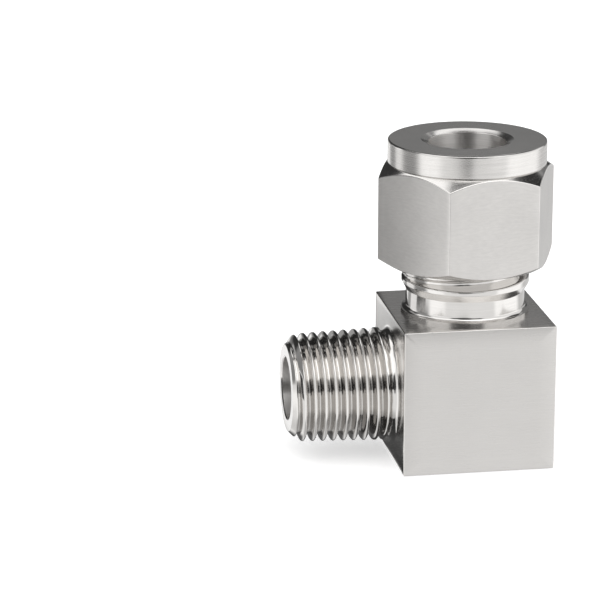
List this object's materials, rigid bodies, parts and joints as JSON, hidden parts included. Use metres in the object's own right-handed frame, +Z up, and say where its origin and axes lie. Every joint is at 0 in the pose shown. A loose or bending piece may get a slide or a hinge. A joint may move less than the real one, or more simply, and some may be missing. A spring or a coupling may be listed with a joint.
{
  "type": "male elbow tube fitting",
  "caption": "Square-block elbow fitting with a compression nut and ferrules on its upright neck and a tapered male pipe thread out of its side.",
  "frame": {"origin": "middle of the block's bottom face, straight under the tube's axis", "axes": "+Z up along the tube's axis, -X out along the male pipe thread, +Y across the block"},
  "size_m": [0.0239, 0.015, 0.0282],
  "materials": {
    "body_steel": "brushed flats and fine-turned rounds, bare stainless steel",
    "nut_steel": "satin hexagon flats and a fine-turned collar, bare stainless steel",
    "ferrule_steel": "fine-turned stainless steel"
  },
  "bodies": {
    "elbow": {"elbow_body": "body_steel"},
    "ferrule_set": {"front_ferrule": "ferrule_steel", "back_ferrule": "ferrule_steel"},
    "nut": {"nut": "nut_steel"}
  },
  "joints": [
    {"name": "nut_rise", "type": "slide", "parent": "elbow", "child": "ferrule_set", "axis": [0, 0, 1], "range_m": [0, 0.00382]},
    {"name": "nut_turn", "type": "hinge", "parent": "ferrule_set", "child": "nut", "pos_m": [0, 0, 0.0222], "axis": [0, 0, 1], "range_deg": [0, 1080]}
  ],
  "couplings": [
    {"joint": "nut_rise", "follows": "nut_turn", "m_per_rad": 0.00020213}
  ]
}
